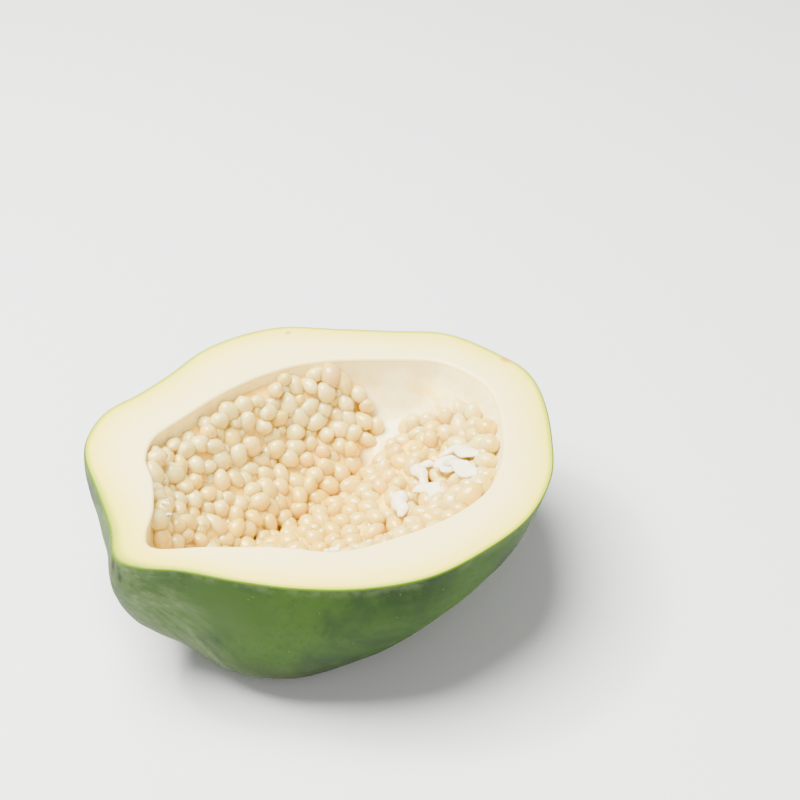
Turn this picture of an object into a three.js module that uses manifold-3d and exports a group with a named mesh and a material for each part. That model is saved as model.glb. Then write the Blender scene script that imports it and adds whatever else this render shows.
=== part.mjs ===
// A half of a green papaya, cut lengthwise and lying on its back with the cut face up.
// One solid holds the skin and the flesh round the hollow seed cavity. The seeds sit in the
// cavity in three banks along the fruit, in bunches that each grow on a thin bed of their own.
// Millimetres, +Z up, +X along the fruit from the stem end to the blossom end.
// The origin is the centre of the small flat spot that the fruit rests on.

import * as THREE from "three";
import { mergeVertices } from "three/addons/utils/BufferGeometryUtils.js";
import Module from "manifold-3d";

const wasm = await Module();
wasm.setup();
const { Manifold, Mesh } = wasm;

// Driving dimensions
const DEPTH = 57; // from the cut face down to the rest spot
const KEEL_DEPTH = 58.7; // how deep the round belly would reach without the rest spot
const CAVITY_DEPTH = 41; // from the cut face down to the bottom of the cavity
const REST_SPOT = [-12.5, -2.5]; // rest spot from the middle of the cut face
const SEED_GAP = 0.5; // least room between the cavity wall and a seed
const BED_GAP = 1.2; // between the cavity wall and a seed bed
const BED_THICKNESS = 1.4; // of a bed at its edges
const SEED_LENGTH = 7.2;
const SEED_WIDTH = 6;
const SEED_SPACING = 5.65; // least distance between the middles of two seeds

// The skin's edge in the cut face, anticlockwise from the blossom end
const RIM_OUTLINE = [
  [84, -2], [79, 23], [64, 39], [50, 53], [37, 66], [22, 72], [5, 73],
  [-12, 68.5], [-27, 65.5], [-42, 64], [-55, 56], [-63, 45], [-70, 27],
  [-77, 10], [-84, -3], [-81, -12], [-72, -22], [-62, -37], [-50, -52],
  [-35, -65], [-16, -74], [6, -75.5], [27, -72.5], [47, -62], [63, -46],
  [76, -29], [83, -15],
];
// The cavity's edge in the cut face, the same way round
const CAVITY_OUTLINE = [
  [67.5, -3], [64, 13], [50, 27], [33, 40], [16, 46], [-4, 47], [-24, 44],
  [-38, 41], [-47, 33], [-52, 22], [-60, 10], [-72, -5], [-58, -18],
  [-42, -32], [-29, -46], [-12, -52], [8, -55.5], [27, -53], [43, -43],
  [56, -29], [65, -15],
];

const AROUND = 72; // steps round the outlines
const SKIN_STEPS = 16; // rings down the skin
const CAVITY_STEPS = 11; // rings down the cavity wall
const BED_ALONG = 6; // steps along a seed bed
const BED_ACROSS = 6; // and across it

function closedCurve(points) {
  const corners = points.map(([x, y]) => new THREE.Vector3(x, y, 0));
  return new THREE.CatmullRomCurve3(corners, true, "catmullrom", 0.5);
}

const rimCurve = closedCurve(RIM_OUTLINE);
const cavityCurve = closedCurve(CAVITY_OUTLINE);

// The belly and the cavity are two bowls under these outlines. The slope says how fast a bowl
// narrows on its way down, and lean and far change it from side to side. Swell, sway and waist
// bulge the sides, the shoulder bulges the stem end, and the drift moves the lower half sideways.
const SKIN = {
  curve: rimCurve,
  depth: KEEL_DEPTH,
  slope: 1.23,
  lean: 0.59,
  far: 0.25,
  swell: -0.02,
  sway: -0.04,
  waist: -0.062,
  shoulder: 0.06,
  drift: [-11.7, 10.1],
};
const CAVITY = {
  curve: cavityCurve,
  depth: CAVITY_DEPTH,
  slope: 0.95,
  lean: 0.35,
  far: 0.12,
  swell: 0,
  sway: 0,
  waist: 0,
  shoulder: 0,
  drift: [-6, 5],
};
// Where round the outline the stem end's shoulder is, and how wide, in radians
const STEM_SIDE = 2.98;
const STEM_WIDTH = 0.4;
// Soft lobes run along the skin from end to end, and fade out at the cut face
const LOBES = { count: 5, height: 0.021, turn: 3.2, fadeDepth: 22 };

// 0 on the sides of a bowl and 1 at its bottom
function nearBottom(a) {
  return Math.pow(Math.sin(a), 12);
}

// How wide a bowl still is towards one side, at a from 0 at the cut face to a right angle
function widthLeft(bowl, side, a) {
  const c = Math.cos(side);
  const s = Math.sin(side);
  const sideSlope = bowl.slope - 2 * bowl.lean * s * c + bowl.far * (s + c);
  const slope = THREE.MathUtils.lerp(sideSlope, 0.85, nearBottom(a));
  const offStem = (((side - STEM_SIDE + 3 * Math.PI) % (2 * Math.PI)) - Math.PI) / STEM_WIDTH;
  const bulge = bowl.swell + bowl.sway * s + bowl.waist * (c * c - s * s)
    + bowl.shoulder * Math.exp(-offStem * offStem);
  return Math.pow(Math.max(0, Math.cos(a)), slope) + bulge * Math.sin(2 * a) * Math.cos(a);
}

function driftAt(bowl, a) {
  const share = Math.pow(Math.sin(a), 0.83) * (1 - 0.45 * nearBottom(a));
  return [bowl.drift[0] * share, bowl.drift[1] * share];
}

// A point of a bowl, moved in by an inset; u goes round its outline
function bowlPoint(bowl, u, a, inset = 0) {
  const rim = bowl.curve.getPoint(u);
  const width = widthLeft(bowl, Math.atan2(rim.y, rim.x), a) * (1 - inset / Math.hypot(rim.x, rim.y));
  const [driftX, driftY] = driftAt(bowl, a);
  const down = Math.pow(Math.sin(a), 0.95);
  return [rim.x * width + driftX, rim.y * width + driftY, -(bowl.depth - inset) * down];
}

function skinPoint(u, a) {
  const [x, y, z] = bowlPoint(SKIN, u, a);
  const fade = Math.min(1, -z / LOBES.fadeDepth);
  const lobe = 1 + LOBES.height * fade * Math.cos(LOBES.count * Math.atan2(-z, y) + LOBES.turn);
  return [x, y * lobe, Math.max(-DEPTH, z * lobe)];
}

function wallPoint(u, a) {
  return bowlPoint(CAVITY, u, a);
}

// Rows of points joined into one closed surface; the first and the last row close on a point
function surface(rows) {
  const positions = [];
  const index = [];
  const start = [];
  for (const row of rows) {
    start.push(positions.length / 3);
    row.forEach((p) => positions.push(...p));
  }
  for (let i = 0; i + 1 < rows.length; i++) {
    const here = rows[i].length;
    const next = rows[i + 1].length;
    for (let j = 0; j < Math.max(here, next); j++) {
      const a = start[i] + (j % here);
      const b = start[i] + ((j + 1) % here);
      const c = start[i + 1] + (j % next);
      const d = start[i + 1] + ((j + 1) % next);
      if (here > 1) index.push(a, b, c);
      if (next > 1) index.push(b, d, c);
    }
  }
  const geometry = new THREE.BufferGeometry();
  geometry.setAttribute("position", new THREE.Float32BufferAttribute(positions, 3));
  geometry.setIndex(index);
  return geometry;
}

function ring(point, a) {
  return Array.from({ length: AROUND }, (_, i) => point(i / AROUND, a));
}

function fruitGeometry() {
  const rows = [[skinPoint(0, Math.PI / 2)]];
  for (let k = SKIN_STEPS; k >= 0; k--) rows.push(ring(skinPoint, (1.5 * k) / SKIN_STEPS));
  for (let k = 0; k < CAVITY_STEPS; k++) rows.push(ring(wallPoint, (Math.PI / 2 * k) / CAVITY_STEPS));
  rows.push([wallPoint(0, Math.PI / 2)]);
  return surface(rows);
}

// A closed solid; triangles that welding has shut to a line are left out
function solidOf(geometry) {
  const welded = mergeVertices(geometry, 1e-4);
  const corners = welded.index.array;
  const kept = [];
  for (let i = 0; i < corners.length; i += 3) {
    const [a, b, c] = [corners[i], corners[i + 1], corners[i + 2]];
    if (a !== b && b !== c && c !== a) kept.push(a, b, c);
  }
  return new Manifold(new Mesh({
    numProp: 3,
    vertProperties: new Float32Array(welded.attributes.position.array),
    triVerts: new Uint32Array(kept),
  }));
}

function geometryOf(solid) {
  const mesh = solid.getMesh();
  const geometry = new THREE.BufferGeometry();
  geometry.setAttribute("position", new THREE.Float32BufferAttribute(mesh.vertProperties, 3));
  geometry.setIndex(Array.from(mesh.triVerts));
  return geometry;
}

// The room that the seeds may fill: the cavity, a little inside its wall and its edge
function seedRoom() {
  const inner = (u, a) => bowlPoint(CAVITY, u, a, SEED_GAP);
  const rows = [[inner(0, Math.PI / 2)]];
  for (let k = CAVITY_STEPS - 1; k > 0; k--) rows.push(ring(inner, (Math.PI / 2 * k) / CAVITY_STEPS));
  rows.push(ring(inner, 0).map(([x, y]) => [x, y, -SEED_GAP]));
  rows.push([[0, 0, -SEED_GAP]]);
  return solidOf(surface(rows));
}

// How far the wall is from the fruit's axis at x, at an angle that goes down from the +Y side
const edgeReach = Array.from({ length: 360 }, (_, i) => cavityCurve.getPoint(i / 360))
  .map((p) => [Math.atan2(p.y, p.x), Math.hypot(p.x, p.y)])
  .sort((p, q) => p[0] - q[0]);

function edgeRadius(side) {
  const k = edgeReach.findIndex(([s]) => s > side);
  const after = k < 0 ? edgeReach[0] : edgeReach[k];
  const before = k > 0 ? edgeReach[k - 1] : edgeReach[edgeReach.length - 1];
  return (after[1] + before[1]) / 2;
}

function insideCavity(x, y, z) {
  if (-z >= CAVITY_DEPTH) return false;
  const a = Math.asin(Math.pow(-z / CAVITY_DEPTH, 1 / 0.95));
  const [driftX, driftY] = driftAt(CAVITY, a);
  const side = Math.atan2(y - driftY, x - driftX);
  return Math.hypot(x - driftX, y - driftY) < widthLeft(CAVITY, side, a) * edgeRadius(side);
}

function wallReach(x, angle) {
  let near = 0;
  let far = 80;
  for (let i = 0; i < 18; i++) {
    const r = (near + far) / 2;
    if (insideCavity(x, r * Math.cos(angle), -r * Math.sin(angle))) near = r;
    else far = r;
  }
  return near;
}

// A seed bank: its middle and half length along the fruit, its middle angle and half width in
// degrees, how far it turns along the fruit in degrees per mm, its height, and its random draw.
// Each bank grows in bunches, from one s to the next, and each bunch is a body of its own.
const BANKS = [
  { name: "seeds_far_wall", x: -9, length: 53, angle: 38, width: 31, turn: -0.1, height: 9, draw: 11,
    bunches: { stem: [-1, -0.53], shoulder: [-0.53, -0.13], belly: [-0.13, 0.36], tip: [0.36, 1] } },
  { name: "seeds_floor", x: 6, length: 55, angle: 101, width: 25, turn: -0.22, height: 9, draw: 23,
    bunches: { stem: [-1, -0.04], tip: [-0.04, 1] } },
  { name: "seeds_near_wall", x: 2, length: 47, angle: 154, width: 18, turn: -0.08, height: 8, draw: 37,
    bunches: { stem: [-1, 0.06], tip: [0.06, 1] } },
];

// The part of a bunch that is some mm clear of the bunches beside it
function clearOf(bank, [from, to], clear) {
  return [from > -1 ? from + clear / bank.length : -1, to < 1 ? to - clear / bank.length : 1];
}

// How high a bank's bed is: s goes along the bank and t across it, from -1 to 1
function bedHeight(bank, s, t) {
  const mound = bank.height * Math.sqrt(Math.max(0, (1 - s ** 4) * (1 - t ** 4)));
  return Math.max(BED_THICKNESS, mound - SEED_WIDTH / 2);
}

// A point over the back of a bank's bed
function bankPoint(bank, s, t, height) {
  const x = bank.x + bank.length * s;
  const taper = Math.sqrt(1 - 0.85 * s ** 4);
  const angle = THREE.MathUtils.degToRad(bank.angle + bank.turn * x + bank.width * taper * t);
  const r = Math.max(1, wallReach(x, angle) - BED_GAP - height);
  return new THREE.Vector3(x, r * Math.cos(angle), -r * Math.sin(angle));
}

function bedSolid(bank, bunch) {
  const [from, to] = clearOf(bank, bunch, 0.3);
  const across = Array.from({ length: BED_ACROSS + 1 }, (_, j) => -1 + (2 * j) / BED_ACROSS);
  const rows = [];
  for (let i = 0; i <= BED_ALONG; i++) {
    const s = from + ((to - from) * i) / BED_ALONG;
    const face = across.map((t) => bankPoint(bank, s, t, bedHeight(bank, s, t)).toArray());
    const back = across.map((t) => bankPoint(bank, s, t, 0).toArray());
    rows.push([...face, ...back.reverse()]);
  }
  const shut = (row) => row.map((p, j) => p.map((v, k) => (v + row[row.length - 1 - j][k]) / 2));
  return solidOf(surface([shut(rows[0]), ...rows, shut(rows[BED_ALONG])]));
}

// Numbers from 0 to 1 that are the same at each run
function randomFrom(draw) {
  let state = draw;
  return () => {
    state = (state + 0x6d2b79f5) | 0;
    let t = Math.imul(state ^ (state >>> 15), 1 | state);
    t = (t + Math.imul(t ^ (t >>> 7), 61 | t)) ^ t;
    return ((t ^ (t >>> 14)) >>> 0) / 4294967296;
  };
}

// Seeds are dropped on a bunch at random, and one that lands too near another is left out
function seedPlaces(bank, bunch, random) {
  const places = [];
  for (let i = 0; i < 1300; i++) {
    const size = 0.86 + 0.26 * random();
    const [from, to] = clearOf(bank, bunch, (size * SEED_LENGTH) / 2 + 0.25);
    const s = THREE.MathUtils.clamp(from + (to - from) * random(), -0.95, 0.95);
    const t = 1.9 * random() - 0.95;
    const lift = 0.5 + 1.5 * random();
    const turn = [random(), random(), random()].map((v) => v * 2 * Math.PI);
    const at = bankPoint(bank, s, t, bedHeight(bank, s, t) + lift);
    if (places.every((p) => p.at.distanceTo(at) > SEED_SPACING * (p.size + size) / 2)) {
      places.push({ at, turn, size });
    }
  }
  return places;
}

function seedSolid({ at, turn, size }) {
  const shape = new THREE.IcosahedronGeometry(1, 0);
  shape.deleteAttribute("uv");
  shape.deleteAttribute("normal");
  shape.scale((size * SEED_LENGTH) / 2, (size * SEED_WIDTH) / 2, (size * SEED_WIDTH) / 2);
  shape.applyMatrix4(new THREE.Matrix4().makeRotationFromEuler(new THREE.Euler(...turn)));
  shape.translate(at.x, at.y, at.z);
  return solidOf(shape);
}

function bunchGeometry(bank, bunch, random, room) {
  const seeds = seedPlaces(bank, bunch, random).map(seedSolid);
  const whole = Manifold.union([bedSolid(bank, bunch), ...seeds]);
  return geometryOf(whole.intersect(room).simplify(0.05));
}

const fleshAndSkin = new THREE.MeshStandardMaterial({ color: 0x5c8a3e, roughness: 0.45, metalness: 0 });
const seedCoat = new THREE.MeshStandardMaterial({ color: 0xeadfc0, roughness: 0.3, metalness: 0 });

const papaya = new THREE.Group();
papaya.position.set(-REST_SPOT[0], -REST_SPOT[1], DEPTH);

const fruit = new THREE.Mesh(fruitGeometry(), fleshAndSkin);
fruit.name = "papaya_half";
papaya.add(fruit);

const room = seedRoom();
for (const bank of BANKS) {
  const random = randomFrom(bank.draw);
  for (const [place, bunch] of Object.entries(bank.bunches)) {
    const seeds = new THREE.Mesh(bunchGeometry(bank, bunch, random, room), seedCoat);
    seeds.name = `${bank.name}_${place}`;
    papaya.add(seeds);
  }
}

const part = new THREE.Group();
part.add(papaya);
export default part;
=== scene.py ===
# Half of a stubby green papaya, cut lengthwise and lying on its back with its seeds in place.
import bisect
import math
import random
import bpy
import bmesh
from mathutils import Euler, Matrix, Vector, noise


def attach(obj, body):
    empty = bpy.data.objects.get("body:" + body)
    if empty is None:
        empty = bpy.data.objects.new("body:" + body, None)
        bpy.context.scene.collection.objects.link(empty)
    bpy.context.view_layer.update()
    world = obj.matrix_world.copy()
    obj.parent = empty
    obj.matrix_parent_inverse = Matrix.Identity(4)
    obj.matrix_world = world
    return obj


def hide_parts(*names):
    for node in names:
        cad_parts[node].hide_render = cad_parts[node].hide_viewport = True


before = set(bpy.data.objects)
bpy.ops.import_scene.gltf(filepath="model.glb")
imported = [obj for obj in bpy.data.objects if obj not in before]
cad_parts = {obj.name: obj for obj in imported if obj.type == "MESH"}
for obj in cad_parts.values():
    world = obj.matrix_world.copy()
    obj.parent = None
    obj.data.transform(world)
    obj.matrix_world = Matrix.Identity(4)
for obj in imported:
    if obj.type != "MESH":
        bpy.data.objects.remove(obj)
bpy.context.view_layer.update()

# Lengths are in mm from the middle of the cut face until toFrame turns them into the row's metres
bodyShape = {
    "depth": 57.0,  # from the cut face down to the rest spot
    "restSpot": (-12.5, -2.5),  # from the middle of the cut face
    "stemSide": 2.98,  # where round the outline the stem end's shoulder is, in radians
    "stemWidth": 0.4,
    "bottomSlope": 0.85,
    "depthPower": 0.95,  # how fast a bowl falls away under its rim
    "lobes": 5,
    "lobeHeight": 0.021,
    "lobeTurn": 3.2,
    "lobeFade": 22.0,  # the depth at which the lobes are full
}
rimOutline = [
    (84, -2), (79, 23), (64, 39), (50, 53), (37, 66), (22, 72), (5, 73), (-12, 68.5), (-27, 65.5),
    (-42, 64), (-55, 56), (-63, 45), (-70, 27), (-77, 10), (-84, -3), (-81, -12), (-72, -22),
    (-62, -37), (-50, -52), (-35, -65), (-16, -74), (6, -75.5), (27, -72.5), (47, -62), (63, -46),
    (76, -29), (83, -15),
]
cavityOutline = [
    (67.5, -3), (64, 13), (50, 27), (33, 40), (16, 46), (-4, 47), (-24, 44), (-38, 41), (-47, 33),
    (-52, 22), (-60, 10), (-72, -5), (-58, -18), (-42, -32), (-29, -46), (-12, -52), (8, -55.5),
    (27, -53), (43, -43), (56, -29), (65, -15),
]
# The belly and the cavity are two bowls under these outlines. The slope says how fast a bowl
# narrows on its way down, and lean and far change it from side to side. Swell, sway and waist
# bulge the sides, the shoulder bulges the stem end, and the drift moves the lower half sideways.
skinBowl = {"outline": rimOutline, "depth": 58.7, "slope": 1.23, "lean": 0.59, "far": 0.25,
            "swell": -0.02, "sway": -0.04, "waist": -0.062, "shoulder": 0.06, "drift": (-11.7, 10.1)}
cavityBowl = {"outline": cavityOutline, "depth": 41.0, "slope": 0.95, "lean": 0.35, "far": 0.12,
              "swell": 0.0, "sway": 0.0, "waist": 0.0, "shoulder": 0.0, "drift": (-6.0, 5.0)}


def toFrame(point):
    x, y = bodyShape["restSpot"]
    return Vector((point[0] - x, point[1] - y, point[2] + bodyShape["depth"])) * 0.001


cutFace = bodyShape["depth"] * 0.001  # its height above the floor, in the row's metres


def mixed(low, high, share):
    return low + (high - low) * share


def outlinePoint(outline, u):  # a closed Catmull-Rom curve through the outline's points
    count = len(outline)
    place = (u % 1.0) * count
    i = int(place)
    w = place - i
    before, here, there, after = (Vector(outline[(i + k) % count]) for k in (-1, 0, 1, 2))
    leave = (there - before) * 0.5
    arrive = (after - here) * 0.5
    bend = (here - there) * 2 + leave + arrive
    return ((bend * w + (there - here) * 3 - leave * 2 - arrive) * w + leave) * w + here


def nearBottom(a):  # 0 on the sides of a bowl and 1 at its bottom
    return math.sin(a) ** 12


def widthLeft(bowl, side, a):
    c, s = math.cos(side), math.sin(side)
    sideSlope = bowl["slope"] - 2 * bowl["lean"] * s * c + bowl["far"] * (s + c)
    slope = mixed(sideSlope, bodyShape["bottomSlope"], nearBottom(a))
    fromStem = (side - bodyShape["stemSide"] + 3 * math.pi) % (2 * math.pi) - math.pi
    offStem = fromStem / bodyShape["stemWidth"]
    bulge = (bowl["swell"] + bowl["sway"] * s + bowl["waist"] * (c * c - s * s)
             + bowl["shoulder"] * math.exp(-offStem * offStem))
    return max(0.0, math.cos(a)) ** slope + bulge * math.sin(2 * a) * math.cos(a)


def driftAt(bowl, a):
    share = math.sin(a) ** 0.83 * (1 - 0.45 * nearBottom(a))
    return bowl["drift"][0] * share, bowl["drift"][1] * share


def bowlPoint(bowl, rim, a):
    width = widthLeft(bowl, math.atan2(rim.y, rim.x), a)
    driftX, driftY = driftAt(bowl, a)
    depth = bowl["depth"] * math.sin(a) ** bodyShape["depthPower"]
    return Vector((rim.x * width + driftX, rim.y * width + driftY, -depth))


def skinPoint(rim, a):
    x, y, z = bowlPoint(skinBowl, rim, a)
    fade = min(1.0, -z / bodyShape["lobeFade"])
    turn = bodyShape["lobes"] * math.atan2(-z, y) + bodyShape["lobeTurn"]
    lobe = 1 + bodyShape["lobeHeight"] * fade * math.cos(turn)
    return Vector((x, y * lobe, max(-bodyShape["depth"], z * lobe)))


edgeReach = sorted(
    (math.atan2(p.y, p.x), p.length) for p in (outlinePoint(cavityOutline, i / 360) for i in range(360)))
edgeAngles = [angle for angle, _ in edgeReach]


def edgeRadius(side):
    k = bisect.bisect_right(edgeAngles, side) % len(edgeReach)
    return (edgeReach[k][1] + edgeReach[k - 1][1]) / 2


def insideCavity(x, y, z):
    if -z >= cavityBowl["depth"]:
        return False
    share = (-z / cavityBowl["depth"]) ** (1 / bodyShape["depthPower"]) if z < 0 else 0.0
    a = math.asin(min(1.0, share))
    driftX, driftY = driftAt(cavityBowl, a)
    side = math.atan2(y - driftY, x - driftX)
    return math.hypot(x - driftX, y - driftY) < widthLeft(cavityBowl, side, a) * edgeRadius(side)


def wallReach(x, angle):  # from the fruit's axis out to the cavity wall
    near, far = 0.0, 80.0
    for _ in range(13):  # halved 13 times, to a hundredth of a mm
        r = (near + far) / 2
        if insideCavity(x, r * math.cos(angle), -r * math.sin(angle)):
            near = r
        else:
            far = r
    return near


def hollowSpot(x, degrees, height):  # a point some mm off the cavity wall, towards the axis
    angle = math.radians(degrees)
    r = max(1.0, wallReach(x, angle) - height)
    return Vector((x, r * math.cos(angle), -r * math.sin(angle)))


class Value:  # a shader socket that can be reckoned with
    def __init__(self, graph, socket):
        self.graph = graph
        self.socket = socket

    def maths(self, operation, first, second=0.0):
        return self.graph.add("ShaderNodeMath", {"operation": operation}, {0: first, 1: second})[0]

    def __add__(self, other): return self.maths("ADD", self, other)
    def __radd__(self, other): return self.maths("ADD", other, self)
    def __sub__(self, other): return self.maths("SUBTRACT", self, other)
    def __rsub__(self, other): return self.maths("SUBTRACT", other, self)
    def __mul__(self, other): return self.maths("MULTIPLY", self, other)
    def __rmul__(self, other): return self.maths("MULTIPLY", other, self)
    def __truediv__(self, other): return self.maths("DIVIDE", self, other)
    def __rtruediv__(self, other): return self.maths("DIVIDE", other, self)
    def __pow__(self, other): return self.maths("POWER", self, other)
    def __neg__(self): return self.maths("MULTIPLY", self, -1.0)

    def between(self, low, high):  # 0 below low, 1 above high, smooth in between
        return self.graph.add("ShaderNodeMapRange", {"interpolation_type": "SMOOTHSTEP", "clamp": True},
                              {"Value": self, "From Min": low, "From Max": high})[0]


class Graph:  # a material and its nodes
    def __init__(self, name):
        self.material = bpy.data.materials.new(name)
        self.material.use_nodes = True
        self.tree = self.material.node_tree
        self.tree.nodes.clear()
        self.position = self.add("ShaderNodeTexCoord")[3]

    def add(self, kind, settings=None, inputs=None):
        node = self.tree.nodes.new(kind)
        for name, setting in (settings or {}).items():
            setattr(node, name, setting)
        for name, value in (inputs or {}).items():
            socket = node.inputs[name] if isinstance(name, int) else next(
                s for s in node.inputs if name in (s.identifier, s.name))
            if isinstance(value, Value):
                self.tree.links.new(value.socket, socket)
            else:
                socket.default_value = (*value, 1.0) if socket.type == "RGBA" and len(value) == 3 else value
        return [Value(self, socket) for socket in node.outputs]

    def moved(self, vector, scale, location=(0, 0, 0)):
        inputs = {"Vector": vector, "Scale": scale, "Location": location}
        return self.add("ShaderNodeMapping", None, inputs)[0]

    def noise(self, vector, scale, detail, rough, distortion=0.0):
        inputs = {"Vector": vector, "Scale": scale, "Detail": detail, "Roughness": rough,
                  "Distortion": distortion}
        return self.add("ShaderNodeTexNoise", None, inputs)[0]

    def cells(self, vector, scale):
        return self.add("ShaderNodeTexVoronoi", None, {"Vector": vector, "Scale": scale})[0]

    def mix(self, share, low, high):
        return self.add("ShaderNodeMix", {"data_type": "RGBA"},
                        {"Factor_Float": share, "A_Color": low, "B_Color": high})[2]

    def attribute(self, name):
        return self.add("ShaderNodeAttribute", {"attribute_name": name})[2]

    def parts(self, vector):
        return self.add("ShaderNodeSeparateXYZ", None, {0: vector})

    def joined(self, x, y, z):
        return self.add("ShaderNodeCombineXYZ", None, {0: x, 1: y, 2: z})[0]

    def bump(self, height, distance, strength):
        inputs = {"Strength": strength, "Distance": distance, "Height": height}
        return self.add("ShaderNodeBump", None, inputs)[0]

    def near(self, place, reach):  # 1 at a place, fading to 0 at that reach along x, y and z
        offset = self.moved(self.position, [1 / r for r in reach], [-p / r for p, r in zip(place, reach)])
        away = self.add("ShaderNodeVectorMath", {"operation": "LENGTH"}, {0: offset})[1]
        return (1.0 - away).between(0.0, 0.8)

    def surface(self, **inputs):
        names = {key.replace("_", " "): value for key, value in inputs.items()}
        shader = self.add("ShaderNodeBsdfPrincipled", None, names)[0]
        self.add("ShaderNodeOutputMaterial", None, {"Surface": shader})
        return self.material


def inLinear(red, green, blue):  # a colour from 0 to 255 a channel, as the shader wants it
    def one(v):
        v /= 255
        return v / 12.92 if v <= 0.04045 else ((v + 0.055) / 1.055) ** 2.4
    return one(red), one(green), one(blue)


def settled(bm, name, materials):  # the mesh as a finished object at the origin
    mesh = bpy.data.meshes.new(name)
    bm.to_mesh(mesh)
    bm.free()
    for polygon in mesh.polygons:
        polygon.use_smooth = True
    for material in materials:
        mesh.materials.append(material)
    piece = bpy.data.objects.new(name, mesh)
    bpy.context.scene.collection.objects.link(piece)
    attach(piece, "root")
    return piece


# Skin: waxy green; painted light makes patches under the rim lighter and yellower, painted shade darkens it
# towards the bottom, and pale streaks fan from the stem end, partly waxy bloom and partly a painted sheen
skinLook = {
    "dark": inLinear(20, 46, 4),
    "middle": inLinear(44, 75, 2),
    # lighter, yellower green for the painted light under the rim
    "litGreen": inLinear(40, 68, 0),
    "greyed": inLinear(42, 70, 16),
    # painted shade for the bottom of the skin
    "under": inLinear(24, 26, 8),
    "rim": inLinear(76, 108, 0),
    # pale waxy bloom with a painted sheen on it
    "bloomAndSheen": inLinear(98, 114, 80),
    "specks": inLinear(120, 140, 60),
    "scar": inLinear(40, 30, 18),
    "rough": 0.58,
    "shine": 0.16,
    "litPatch": ((-0.054, -0.03, 0.044), (0.03, 0.026, 0.018)),  # a patch of painted light under the rim, and its reach
    "cracks": [  # the same for two dark cracks at the stem end
        ((-0.072, 0.0, 0.0545), (0.004, 0.0016, 0.004)),
        ((-0.0715, -0.003, 0.051), (0.004, 0.0013, 0.0032)),
    ],
}


def skinMaterial(look):
    g = Graph("papaya_skin")
    x, y, z = g.parts(g.position)
    drop = cutFace - z
    reach = (y * y + drop * drop + 0.0004) ** 0.5
    grain = g.joined(x * 0.22, y / reach * 0.05, drop / reach * 0.05)
    patches = g.noise(g.position, 34.0, 3.0, 0.55, 0.6)
    mottle = g.noise(g.position, 170.0, 5.0, 0.62)
    fine = g.noise(g.position, 620.0, 3.0, 0.6)
    streaks = g.noise(grain, 420.0, 4.0, 0.6, 0.3)
    longStreaks = g.noise(grain, 120.0, 3.0, 0.5, 0.6)
    colour = g.mix(patches.between(0.34, 0.62), look["dark"], look["middle"])
    colour = g.mix(mottle.between(0.46, 0.7) * 0.75, colour, look["greyed"])
    colour = g.mix(fine.between(0.45, 0.75) * 0.5, colour, look["dark"])
    # painted light: lighter, yellower green in patches along the band under the rim, and on a patch near the
    # stem end
    litBand = (0.024 - drop).between(0.0, 0.02)
    litBandPatches = g.noise(g.position, 36.0, 4.0, 0.62, 0.8).between(0.4, 0.72)
    litPatch = g.near(*look["litPatch"]) * (patches * 0.8 + 0.6)
    colour = g.mix(litBand * litBandPatches * 0.55, colour, look["litGreen"])
    colour = g.mix((litPatch * 1.1).between(0.1, 1.0) * 0.85, colour, look["litGreen"])
    # painted shade: darker towards the bottom
    colour = g.mix(drop.between(0.024, 0.054) * 0.85, colour, look["under"])
    lower = longStreaks * 0.018 + drop * 0.42
    stemEnd = (-x + lower).between(0.04, 0.074) * (y + lower + 0.011).between(0.0, 0.018)
    # pale streaks at the stem end: partly waxy bloom, partly a painted sheen
    bloomAndSheen = (streaks.between(0.42, 0.74) * 0.35 + mottle.between(0.4, 0.7) * 0.25
             + longStreaks.between(0.3, 0.6) * 0.35) * (stemEnd * 0.9 + 0.04)
    waxy = (0.004 - drop).between(0.0, 0.003) * mottle.between(0.4, 0.6) * 0.3
    colour = g.mix(bloomAndSheen + waxy, colour, look["bloomAndSheen"])
    colour = g.mix((0.0009 - drop).between(0.0, 0.0007), colour, look["rim"])
    specks = g.cells(g.position, 210.0)
    colour = g.mix((0.07 - specks).between(0.0, 0.04) * 0.4, colour, look["specks"])
    for crack in look["cracks"]:
        colour = g.mix(g.near(*crack) * mottle.between(0.1, 0.5), colour, look["scar"])
    rough = look["rough"] + (mottle - 0.5) * 0.3 + bloomAndSheen * 0.2
    height = fine * 0.25 + streaks * stemEnd * 0.9 + longStreaks * 0.5 + mottle * 0.35
    return g.surface(Base_Color=colour, Roughness=rough, Specular_IOR_Level=look["shine"],
                     Normal=g.bump(height, 0.0003, 0.7))


# Flesh: ivory, yellower and then green in the last mm before the skin
fleshLook = {
    "inner": inLinear(255, 241, 180),
    "outer": inLinear(254, 234, 106),
    "nearSkin": inLinear(236, 230, 54),
    "line": inLinear(160, 178, 8),
    "edge": inLinear(84, 112, 0),
    "bruise": inLinear(206, 132, 44),
    "rough": 0.45,
    "bruises": [  # small brown bruises at the rim, and their reach
        ((0.0955, 0.0, 0.057), (0.0026, 0.0034, 0.004)),
        ((0.0478, 0.0645, 0.057), (0.002, 0.0012, 0.002)),
    ],
}


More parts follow.
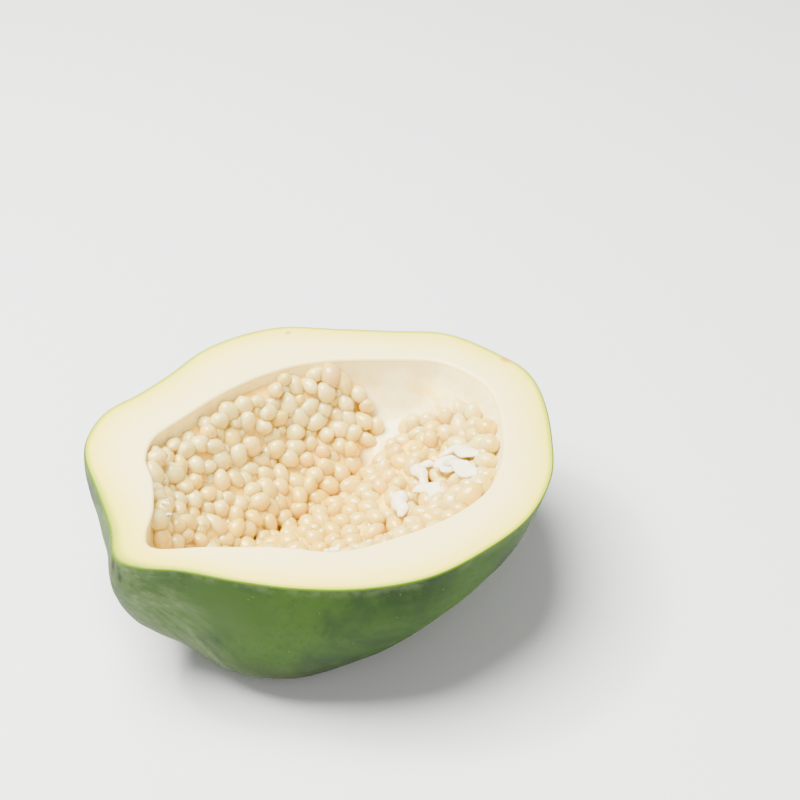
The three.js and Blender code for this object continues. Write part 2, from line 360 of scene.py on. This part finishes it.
def fleshMaterial(look):
    g = Graph("papaya_flesh")
    fromSkin = g.attribute("fromSkin")
    wave = g.noise(g.position, 60.0, 2.0, 0.5)
    fine = g.noise(g.position, 700.0, 3.0, 0.6)
    stemEnd = (-g.parts(g.position)[0]).between(0.045, 0.072)
    depth = (fromSkin + (wave - 0.5) * 1.2) / (1.0 + stemEnd * 1.6)
    colour = g.mix(depth.between(1.0, 17.0), look["outer"], look["inner"])
    colour = g.mix(depth.between(0.6, 5.2), look["nearSkin"], colour)
    rim = fromSkin / (1.0 + stemEnd * 1.4)
    colour = g.mix(rim.between(0.5, 2.4), look["line"], colour)
    colour = g.mix(rim.between(0.2, 0.7), look["edge"], colour)
    for bruise in look["bruises"]:
        colour = g.mix(g.near(*bruise) * 0.8, colour, look["bruise"])
    colour = g.mix(fine.between(0.3, 0.8) * 0.1, colour, look["outer"])
    cuts = g.noise(g.moved(g.position, (0.25, 1.0, 1.0)), 260.0, 3.0, 0.5)
    height = fine * 0.4 + cuts
    return g.surface(Base_Color=colour, Roughness=look["rough"] + (wave - 0.5) * 0.15, Subsurface_Weight=0.35,
                     Subsurface_Radius=(0.004, 0.0028, 0.0014), Subsurface_Scale=1.0, Coat_Weight=0.18,
                     Coat_Roughness=0.3, Normal=g.bump(height, 0.0001, 0.5))


# Cavity wall: whiter and moister than the flesh, with faint fibres that run down it
wallLook = {
    # painted light for the band under the cut face
    "litTop": inLinear(255, 248, 208),
    "pale": inLinear(255, 244, 196),
    "shade": inLinear(250, 224, 128),
    # painted shade for the deep part of the cavity
    "deep": inLinear(246, 202, 88),
    "spot": inLinear(150, 84, 60),
    "rough": 0.38,
}


def wallMaterial(look):
    g = Graph("papaya_cavity_wall")
    x, y, z = g.parts(g.position)
    fibres = g.noise(g.joined(x, y * 0.22, z * 0.22), 240.0, 4.0, 0.6, 0.5)
    patches = g.noise(g.position, 70.0, 3.0, 0.5)
    deep = (cutFace - z).between(0.02, 0.042)
    colour = g.mix(patches.between(0.3, 0.6), look["pale"], look["shade"])
    colour = g.mix(fibres.between(0.44, 0.58) * 0.9, colour, look["pale"])
    # painted shade: darker and more golden deeper in the cavity
    colour = g.mix(deep * 0.8, colour, look["deep"])
    # whiter near the cut face: partly the whitish membrane there, partly painted light that lifts the shade
    # the wall falls into
    colour = g.mix(z.between(0.044, 0.054) * 0.6, colour, look["litTop"])
    spot = toFrame(hollowSpot(-38.7, 7.0, 0.0))
    colour = g.mix(g.near(spot, (0.0016, 0.0008, 0.0008)), colour, look["spot"])
    height = fibres + patches * 0.5
    return g.surface(Base_Color=colour, Roughness=look["rough"], Subsurface_Weight=0.4,
                     Subsurface_Radius=(0.004, 0.003, 0.0016), Subsurface_Scale=1.0, Coat_Weight=0.35,
                     Coat_Roughness=0.2, Normal=g.bump(height, 0.0009, 0.9))


fruitSize = {
    "around": 360,
    "wallSteps": 54,
    "faceSteps": 24,
    "skinSteps": 80,
    "cavityEdge": 1.2,  # how far the cavity's edge is rounded
    "rimEdge": 0.4,  # how far the skin's cut edge is rounded
    "dents": 0.45,
    "wallWaves": 0.6,
    # smooth swellings of the wall between the seeds: x, degrees down from the +Y side, reach, height
    "swellings": [
        (41, 57, 7.0, 4.0), (36, 69, 6.0, 3.5), (47, 67, 5.0, 2.5), (54, 28, 6.0, 1.2), (60, 60, 5.0, 1.5),
    ],
}


def makeFruit(size):
    bend = [math.radians(v) for v in (20, 45, 70, 90)]
    stations = [("wall", math.pi / 2 * (1 - i / size["wallSteps"])) for i in range(size["wallSteps"])]
    stations += [("cavityEdge", v) for v in bend]
    stations += [("face", (i + 1) / size["faceSteps"]) for i in range(size["faceSteps"])]
    stations += [("rimEdge", v) for v in reversed(bend[:3])]
    stations += [("skin", math.pi / 2 * (0.5 + i) / size["skinSteps"]) for i in range(size["skinSteps"])]
    stations += [("skin", math.pi / 2)]
    last = len(stations) - 1
    bm = bmesh.new()
    bmesh.ops.create_uvsphere(bm, u_segments=size["around"], v_segments=last, radius=1.0)
    fromSkin = bm.verts.layers.float.new("fromSkin")
    ringOf = {}
    edges = {}
    for vert in bm.verts:
        k = round(math.acos(max(-1.0, min(1.0, vert.co.z))) / math.pi * last)
        column = round(math.atan2(vert.co.y, vert.co.x) / (2 * math.pi) * size["around"]) % size["around"]
        if column not in edges:
            u = column / size["around"]
            edges[column] = outlinePoint(rimOutline, u), outlinePoint(cavityOutline, u)
        rim, edge = edges[column]
        kind, value = stations[k]
        ringOf[vert.index] = k
        across = rim - edge
        width = across.length
        across = across / width
        if kind == "wall":
            point = bowlPoint(cavityBowl, edge, value)
        elif kind == "skin":
            point = skinPoint(rim, value)
        elif kind == "cavityEdge":
            inward = size["cavityEdge"] * (1 - math.cos(value))
            point = (edge + across * inward).to_3d()
            point.z = -size["cavityEdge"] * (1 - math.sin(value))
        elif kind == "rimEdge":
            inward = size["rimEdge"] * (1 - math.cos(value))
            point = (rim - across * inward).to_3d()
            point.z = -size["rimEdge"] * (1 - math.sin(value))
        else:
            first, final = size["cavityEdge"], width - size["rimEdge"]
            point = (edge + across * mixed(first, final, value)).to_3d()
        vert[fromSkin] = (rim - point.to_2d()).length if kind not in ("wall", "skin") else 0.0
        vert.co = point
    bm.normal_update()
    bm.verts.index_update()
    spots = {(x, degrees): hollowSpot(x, degrees, 0.0) for x, degrees, _, _ in size["swellings"]}
    for vert in bm.verts:
        kind = stations[ringOf[vert.index]][0]
        at = vert.co
        if kind == "skin" and at.z > -bodyShape["depth"] + 0.02:
            depth = min(1.0, -at.z / 4)
            dents = noise.noise(at / 16) * 0.6 + noise.noise(at / 6.5) * 0.4
            vert.co = at + vert.normal * (size["dents"] * depth * (dents - 0.7))
        elif kind == "wall":
            waves = noise.noise(Vector((at.x / 26, at.y / 7, at.z / 7))) + 0.5 * noise.noise(at / 3)
            rise = size["wallWaves"] * waves * min(1.0, -at.z / 6)
            for x, degrees, reach, height in size["swellings"]:
                away = (at - spots[x, degrees]).length / reach
                rise += height * math.exp(-away * away)
            vert.co = at + vert.normal * rise
    materialOf = {"wall": 1, "cavityEdge": 0, "face": 0, "rimEdge": 2, "skin": 2}
    for face in bm.faces:
        rings = [ringOf[v.index] for v in face.verts]
        face.material_index = materialOf[stations[max(rings)][0]]
    for vert in bm.verts:
        vert.co = toFrame(vert.co)
    materials = [fleshMaterial(fleshLook), wallMaterial(wallLook), skinMaterial(skinLook)]
    fruit = settled(bm, "papaya_flesh_and_skin", materials)
    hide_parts("papaya_half")


makeFruit(fruitSize)
print("fruit made")

# Seeds: pearly coats over pinkish tan, each with its own tint; the CAD's own seeds come first
seedShape = {
    "length": 7.2,
    "width": 6.0,
    "spacing": 5.65,
    "bedGap": 1.2,
    "bedThickness": 1.4,
    "taper": 0.24,
    "lumps": 0.2,
    "plump": 1.12,  # how much fuller than the CAD's seeds
    "belowFace": 0.8,  # no seed reaches higher than this under the cut face
    "long": (1.0, 1.27),  # how much longer and wider than the CAD's seeds each one is drawn
    "wide": (0.88, 1.04),
    "small": 0.82,  # seeds under this size sit deeper and get more painted shade
    "floorEnd": 128,  # degrees at which the floor's bank gives way to the near wall's
}
banks = [
    {"name": "seeds_far_wall", "x": -9, "length": 53, "angle": 38, "width": 31, "turn": -0.1,
     "height": 9, "draw": 11,
     "bunches": {"stem": (-1, -0.53), "shoulder": (-0.53, -0.13), "belly": (-0.13, 0.36), "tip": (0.36, 1)}},
    {"name": "seeds_floor", "x": 6, "length": 55, "angle": 101, "width": 25, "turn": -0.22,
     "height": 9, "draw": 23,
     "bunches": {"stem": (-1, -0.04), "tip": (-0.04, 1)}},
    {"name": "seeds_near_wall", "x": 2, "length": 47, "angle": 154, "width": 18, "turn": -0.08,
     "height": 8, "draw": 37,
     "bunches": {"stem": (-1, 0.06), "tip": (0.06, 1)}},
]


def bedHeight(bank, s, t):
    mound = bank["height"] * math.sqrt(max(0.0, (1 - s ** 4) * (1 - t ** 4)))
    return max(seedShape["bedThickness"], mound - seedShape["width"] / 2)


def bankTaper(s):  # a bank narrows towards its two ends
    return math.sqrt(1 - 0.85 * s ** 4)


def bankPoint(bank, s, t, height):
    x = bank["x"] + bank["length"] * s
    degrees = bank["angle"] + bank["turn"] * x + bank["width"] * bankTaper(s) * t
    return hollowSpot(x, degrees, seedShape["bedGap"] + height)


def randomFrom(draw):  # the CAD's own draw, so that its seeds come out in the same places
    whole = 0xffffffff
    state = draw

    def following():
        nonlocal state
        state = (state + 0x6d2b79f5) & whole
        t = ((state ^ (state >> 15)) * (1 | state)) & whole
        t = ((t + (((t ^ (t >> 7)) * (61 | t)) & whole)) & whole) ^ t
        return (t ^ (t >> 14)) / 4294967296
    return following


def cadSeeds(bank):
    following = randomFrom(bank["draw"])
    places = []
    for start, end in bank["bunches"].values():
        own = []
        for _ in range(1300):
            size = 0.86 + 0.26 * following()
            clear = ((size * seedShape["length"]) / 2 + 0.25) / bank["length"]
            low = start + clear if start > -1 else -1
            high = end - clear if end < 1 else 1
            s = max(-0.95, min(0.95, low + (high - low) * following()))
            t = 1.9 * following() - 0.95
            lift = 0.5 + 1.5 * following()
            turn = [following() * 2 * math.pi for _ in range(3)]
            at = bankPoint(bank, s, t, bedHeight(bank, s, t) + lift)
            if all((p[0] - at).length > seedShape["spacing"] * (p[2] + size) / 2 for p in own):
                own.append((at, turn, size))
        places += own
    return places


# Where seeds lie thickly: x along the fruit in mm and degrees down from the +Y side
thickets = {
    "far": [(-58, 30), (-50, 12), (-43, 7), (-25, 10), (-12, 8), (7, 6), (20, 4), (33, 3), (38, 10),
            (36, 17), (41, 25), (35, 32), (38, 41), (29, 49), (31, 57), (20, 62), (17, 71), (10, 78),
            (-6, 90), (-20, 104), (-58, 104)],
    "near": [(-58, 104), (-20, 104), (-6, 90), (10, 83), (24, 71), (33, 70), (42, 64), (52, 58), (60, 80),
             (62, 130), (57, 172), (20, 174), (-30, 173), (-46, 165), (-62, 150)],
}


def isWithin(outline, x, y):
    inside = False
    for (ax, ay), (bx, by) in zip(outline, outline[1:] + outline[:1]):
        if (ay > y) != (by > y) and x < ax + (y - ay) * (bx - ax) / (by - ay):
            inside = not inside
    return inside


def moundAt(x, degrees):  # how high the seed beds stand off the wall there
    height = seedShape["bedThickness"]
    for bank in banks:
        s = (x - bank["x"]) / bank["length"]
        if abs(s) < 1:
            t = (degrees - bank["angle"] - bank["turn"] * x) / (bank["width"] * bankTaper(s))
            if abs(t) < 1:
                height = max(height, bedHeight(bank, s, t))
    return height


def moreSeeds(places, area, tries, lifts, spacing, sizes, draw):
    rng = random.Random(draw)
    xs = [x for x, _ in area]
    turns = [turn for _, turn in area]
    made = []
    for _ in range(tries):
        x, degrees = rng.uniform(min(xs), max(xs)), rng.uniform(min(turns), max(turns))
        size = rng.uniform(*sizes)
        lift = rng.uniform(*lifts)
        turn = [rng.uniform(0, 2 * math.pi) for _ in range(3)]
        if not isWithin(area, x, degrees):
            continue
        at = hollowSpot(x, degrees, seedShape["bedGap"] + moundAt(x, degrees) + lift)
        if at.z < -seedShape["width"] * 0.62 and all(
                (p[0] - at).length > spacing * (p[2] + size) / 2 for p in places):
            places.append((at, turn, size))
            made.append((at, turn, size))
    return made


def addSeed(bm, tint, seedShade, place, rng):
    at, turn, size = place
    out = Vector((0, -at.y, -at.z)).normalized()
    made = bmesh.ops.create_icosphere(bm, subdivisions=2, radius=1.0)
    rotation = Euler(turn, "ZYX").to_matrix()
    shift = Vector((rng.uniform(0, 50), rng.uniform(0, 50), rng.uniform(0, 50)))
    tone = rng.random()
    long, wide = rng.uniform(*seedShape["long"]), rng.uniform(*seedShape["wide"])
    for vert in made["verts"]:
        p = vert.co.copy()
        thin = 1 - seedShape["taper"] * max(0.0, p.x) ** 2
        lump = 1 + seedShape["lumps"] * noise.noise(p * 1.1 + shift)
        p = Vector((p.x * seedShape["length"] * long, p.y * seedShape["width"] * wide * thin,
                    p.z * seedShape["width"] * thin)) * (size * seedShape["plump"] / 2 * lump)
        p = rotation @ p
        vert.co = at + p
        vert[tint] = tone
        # painted shade: strongest on the side of the seed that faces the wall
        vert[seedShade] = 0.5 - 0.5 * p.normalized().dot(out) + (0.25 if size < seedShape["small"] else 0.0)
    above = max(0.0, max(vert.co.z for vert in made["verts"]) + seedShape["belowFace"])
    for vert in made["verts"]:
        vert.co = toFrame(vert.co - Vector((0, 0, above)))


seedLook = {
    "coat": inLinear(255, 235, 156),
    "tan": inLinear(249, 209, 114),
    "yellow": inLinear(255, 220, 82),
    "pink": inLinear(238, 186, 118),
    "seedShade": inLinear(250, 206, 52),  # painted shade: golden on each seed's side towards the wall
    "mark": inLinear(96, 50, 70),
    "rough": 0.3,
    "glassy": 0.2,
}


def seedMaterial(look):
    g = Graph("seed_coat")
    tint = g.attribute("tint")
    cloud = g.noise(g.position, 320.0, 3.0, 0.55)
    colour = g.mix((cloud * 0.7 + tint * 0.5).between(0.45, 0.95), look["coat"], look["tan"])
    colour = g.mix((tint * 5.0 - 3.6).between(0.0, 1.0) * 0.5, colour, look["yellow"])
    colour = g.mix((0.12 - tint).between(0.0, 0.1) * 0.7, colour, look["pink"])
    # painted shade: seeds turn golden on their sides towards the wall and deeper in the cavity
    low = (cutFace - g.parts(g.position)[2]).between(0.01, 0.034)
    colour = g.mix(g.attribute("seedShade").between(0.2, 0.85) * 0.75 + low * 0.7, colour, look["seedShade"])
    mark = toFrame(hollowSpot(-28.0, 56.6, 9.2))
    colour = g.mix(g.near(mark, (0.0016, 0.001, 0.0012)) * cloud.between(0.4, 0.6), colour, look["mark"])
    height = g.noise(g.position, 900.0, 2.0, 0.5)
    return g.surface(Base_Color=colour, Roughness=look["rough"], Subsurface_Weight=0.5,
                     Subsurface_Radius=(0.003, 0.0026, 0.0018), Subsurface_Scale=1.0,
                     Transmission_Weight=look["glassy"], Coat_Weight=0.55, Coat_Roughness=0.1,
                     Normal=g.bump(height, 0.0002, 0.3))


pulpLook = {
    "light": inLinear(255, 220, 100),
    "dark": inLinear(255, 196, 48),
}


def pulpMaterial(look):
    g = Graph("seed_bed")
    cloud = g.noise(g.position, 260.0, 4.0, 0.6)
    colour = g.mix(cloud.between(0.35, 0.7), look["dark"], look["light"])
    return g.surface(Base_Color=colour, Roughness=0.4, Subsurface_Weight=0.4,
                     Subsurface_Radius=(0.003, 0.0022, 0.0014), Subsurface_Scale=1.0, Coat_Weight=0.4,
                     Coat_Roughness=0.2, Normal=g.bump(cloud, 0.0006, 0.8))


def addBed(bm, bank):
    made = bmesh.ops.create_grid(bm, x_segments=70, y_segments=26, size=1.0)
    front = {v: (v.co.x, v.co.y) for v in made["verts"]}
    faces = list({f for v in made["verts"] for f in v.link_faces})
    copy = bmesh.ops.extrude_face_region(bm, geom=faces, use_keep_orig=True)
    back = [v for v in copy["geom"] if isinstance(v, bmesh.types.BMVert)]
    for vert in back:
        vert.co = toFrame(bankPoint(bank, vert.co.x, vert.co.y, -1.5))
    for vert, (s, t) in front.items():
        p = bankPoint(bank, s, t, 0.0)
        rough = noise.noise(p / 3.4) * 1.5 + noise.noise(p / 1.4) * 0.4
        edge = min(1.0, (1 - max(abs(s), abs(t))) * 6)
        height = (bedHeight(bank, s, t) + 1.3 + rough) * edge - 1.4 * (1 - edge)
        vert.co = toFrame(bankPoint(bank, s, t, height))
    for face in {f for v in list(front) + back for f in v.link_faces}:
        face.material_index = 1


def makeBank(bank, places):
    bm = bmesh.new()
    tint = bm.verts.layers.float.new("tint")
    seedShade = bm.verts.layers.float.new("seedShade")
    addBed(bm, bank)
    bmesh.ops.recalc_face_normals(bm, faces=bm.faces[:])
    rng = random.Random(bank["draw"] + 2)
    for place in places:
        addSeed(bm, tint, seedShade, place, rng)
    piece = settled(bm, bank["name"] + "_fine", [coat, pulp])
    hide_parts(*[f"{bank['name']}_{place}" for place in bank["bunches"]])
    print(bank["name"], len(places), "seeds")


coat = seedMaterial(seedLook)
pulp = pulpMaterial(pulpLook)
seedsOf = {bank["name"]: cadSeeds(bank) for bank in banks}
everySeed = [place for places in seedsOf.values() for place in places]
print(len(everySeed), "seeds as in the CAD")
for area, tries, fillTries in (("far", 3200, 1300), ("near", 3600, 700)):
    added = moreSeeds(everySeed, thickets[area], tries, (0.2, 2.4), 4.9, (0.9, 1.18), len(area))
    added += moreSeeds(everySeed, thickets[area], fillTries, (-1.4, 0.6), 4.1, (0.72, 0.96), len(area) + 50)
    for place in added:
        at = place[0]
        turn = math.degrees(math.atan2(-at.z, at.y))
        nearName = "seeds_floor" if turn < seedShape["floorEnd"] else "seeds_near_wall"
        name = "seeds_far_wall" if area == "far" else nearName
        seedsOf[name].append(place)
for bank in banks:
    makeBank(bank, seedsOf[bank["name"]])

# Torn pulp: soft white flaps between the seeds, and short shreds at the stem end
flapShape = {
    "rumple": 0.6,
    # from and to (x, degrees down from the +Y side, height off the wall), width, thickness
    "flaps": [
        ((42, 132, 9), (45, 171, 3.5), 8.0, 3.0), ((39, 141, 9), (35, 173, 3.5), 7.0, 3.2),
        ((41, 133, 8.5), (37, 154, 9), 8.0, 3.0), ((35, 110, 9), (29, 139, 9), 5.5, 3.0),
        ((29, 131, 9), (24, 154, 7), 7.5, 3.0), ((34, 118, 9.5), (38, 131, 9.5), 4.0, 2.6),
        ((23, 117, 9), (17, 134, 8), 7.0, 3.8), ((-15, 170, 6), (-22, 173, 6), 4.5, 2.8),
        ((-25, 172, 5.5), (-31, 173, 5), 4.0, 2.6), ((2, 158, 8.5), (-6, 162, 8), 3.6, 2.6),
    ],
    "shreds": 26,
    "shredLength": (2.0, 4.6),
}


def flapMaterial():
    g = Graph("torn_pulp")
    cloud = g.noise(g.position, 420.0, 4.0, 0.6)
    colour = g.mix(cloud.between(0.3, 0.75), inLinear(255, 250, 232), inLinear(252, 238, 196))
    return g.surface(Base_Color=colour, Roughness=0.5, Subsurface_Weight=0.6,
                     Subsurface_Radius=(0.003, 0.0024, 0.0018), Subsurface_Scale=1.0, Coat_Weight=0.25,
                     Coat_Roughness=0.25, Normal=g.bump(cloud, 0.0004, 0.8))


def offWall(x, degrees):  # the way from the wall to the axis, and across the wall
    angle = math.radians(degrees)
    out = Vector((0, -math.cos(angle), math.sin(angle)))
    return out, out.cross(Vector((1, 0, 0)))


def addFlap(bm, start, end, width, thickness):
    made = bmesh.ops.create_icosphere(bm, subdivisions=4, radius=1.0)
    out = offWall(start[0], (start[1] + end[1]) / 2)[0]
    first, last = hollowSpot(*start), hollowSpot(*end)
    way = (last - first).normalized()
    length = (last - first).length
    side = out.cross(way).normalized()
    shift = Vector((start[0], start[1], width))
    for vert in made["verts"]:
        s, t, n = vert.co
        wide = 0.85 + 0.5 * noise.noise(Vector((s * 1.6, 0, 0)) + shift)
        sway = noise.noise(Vector((s * 1.3, 9, 0)) + shift) * width * 0.5
        p = first.lerp(last, (s + 1) / 2) + side * (width / 2 * t * wide + sway)
        p += out * (n * thickness / 2 + 0.1 * length * (1 - s * s) - 0.6 * t * t)
        rumple = Vector([noise.noise(p / 3.4 + Vector((k * 17, 0, 0))) for k in range(3)])
        vert.co = toFrame(p + rumple * flapShape["rumple"])


def makeTornPulp(shape):
    material = flapMaterial()
    bm = bmesh.new()
    for flap in shape["flaps"]:
        addFlap(bm, *flap)
    settled(bm, "torn_pulp_flaps", [material])
    bm = bmesh.new()
    rng = random.Random(5)
    for _ in range(shape["shreds"]):
        x, degrees = rng.uniform(-57, -42), rng.uniform(12, 80)
        length = rng.uniform(*shape["shredLength"])
        out, across = offWall(x, degrees)
        way = (out + Vector((rng.uniform(0, 1.2), 0, 0)) + across * rng.uniform(-0.7, 0.7)).normalized()
        place = Matrix.Translation(Vector((0, 0, length / 2)))
        made = bmesh.ops.create_cone(bm, cap_ends=True, segments=7, radius1=rng.uniform(0.7, 1.2),
                                     radius2=0.15, depth=length, matrix=place)
        rotation = way.to_track_quat("Z", "Y").to_matrix()
        base = hollowSpot(x, degrees, 2.0 + rng.uniform(0, 4))
        for vert in made["verts"]:
            bend = Vector((math.sin(vert.co.z * 0.7 + degrees) * 0.5, math.cos(vert.co.z * 0.6 + x) * 0.5, 0))
            vert.co = toFrame(base + rotation @ (vert.co + bend))
    shreds = settled(bm, "torn_pulp_shreds", [material])
    smooth = shreds.modifiers.new("smooth", "SUBSURF")
    smooth.levels = smooth.render_levels = 1


makeTornPulp(flapShape)
print("torn pulp made")

# Stage: a pale floor, soft lights, and the camera at the photograph's angle
stageLook = {
    "floor": (0.7, 0.735, 0.865),
    "world": 0.45,
    "tint": (1.0, 0.945, 0.785),
    "aim": (0.0, 0.0, 0.03),
    "lights": [  # name, place, size, watts
        ("key", (-0.3, 0.26, 1.2), 1.0, 88.0),
        ("glint", (-0.35, 0.5, 1.0), 0.14, 8.0),
        ("fill", (-0.5, -0.9, 0.7), 0.9, 7.0),
    ],
    "lens": 84.24,
    "sensor": 36.0,
    "camera": (-0.2964, -0.3935, 0.4273),
    "tilt": 55,  # degrees from looking straight down
    "turn": -41,
}


def makeFloor(look):
    bm = bmesh.new()
    bmesh.ops.create_grid(bm, x_segments=1, y_segments=1, size=8.0)
    mesh = bpy.data.meshes.new("floor")
    bm.to_mesh(mesh)
    bm.free()
    g = Graph("floor")
    mesh.materials.append(g.surface(Base_Color=look["floor"], Roughness=0.7))
    floor = bpy.data.objects.new("floor", mesh)
    bpy.context.scene.collection.objects.link(floor)


def makeLight(name, place, size, watts):
    data = bpy.data.lights.new(name, "AREA")
    data.shape = "DISK"
    data.size = size
    data.energy = watts
    data.color = stageLook["tint"]
    light = bpy.data.objects.new(name, data)
    light.location = place
    light.rotation_euler = (Vector(stageLook["aim"]) - Vector(place)).to_track_quat("-Z", "Y").to_euler()
    bpy.context.scene.collection.objects.link(light)


makeFloor(stageLook)
for name, place, size, watts in stageLook["lights"]:
    makeLight(name, place, size, watts)
world = bpy.data.worlds.new("studio")
world.use_nodes = True
background = world.node_tree.nodes["Background"]
background.inputs["Color"].default_value = (*stageLook["tint"], 1.0)
background.inputs["Strength"].default_value = stageLook["world"]
bpy.context.scene.world = world

cameraData = bpy.data.cameras.new("camera")
cameraData.lens = stageLook["lens"]
cameraData.sensor_width = stageLook["sensor"]
camera = bpy.data.objects.new("camera", cameraData)
camera.location = stageLook["camera"]
camera.rotation_euler = (math.radians(stageLook["tilt"]), 0.0, math.radians(stageLook["turn"]))
bpy.context.scene.collection.objects.link(camera)
bpy.context.scene.camera = camera
print("stage made")
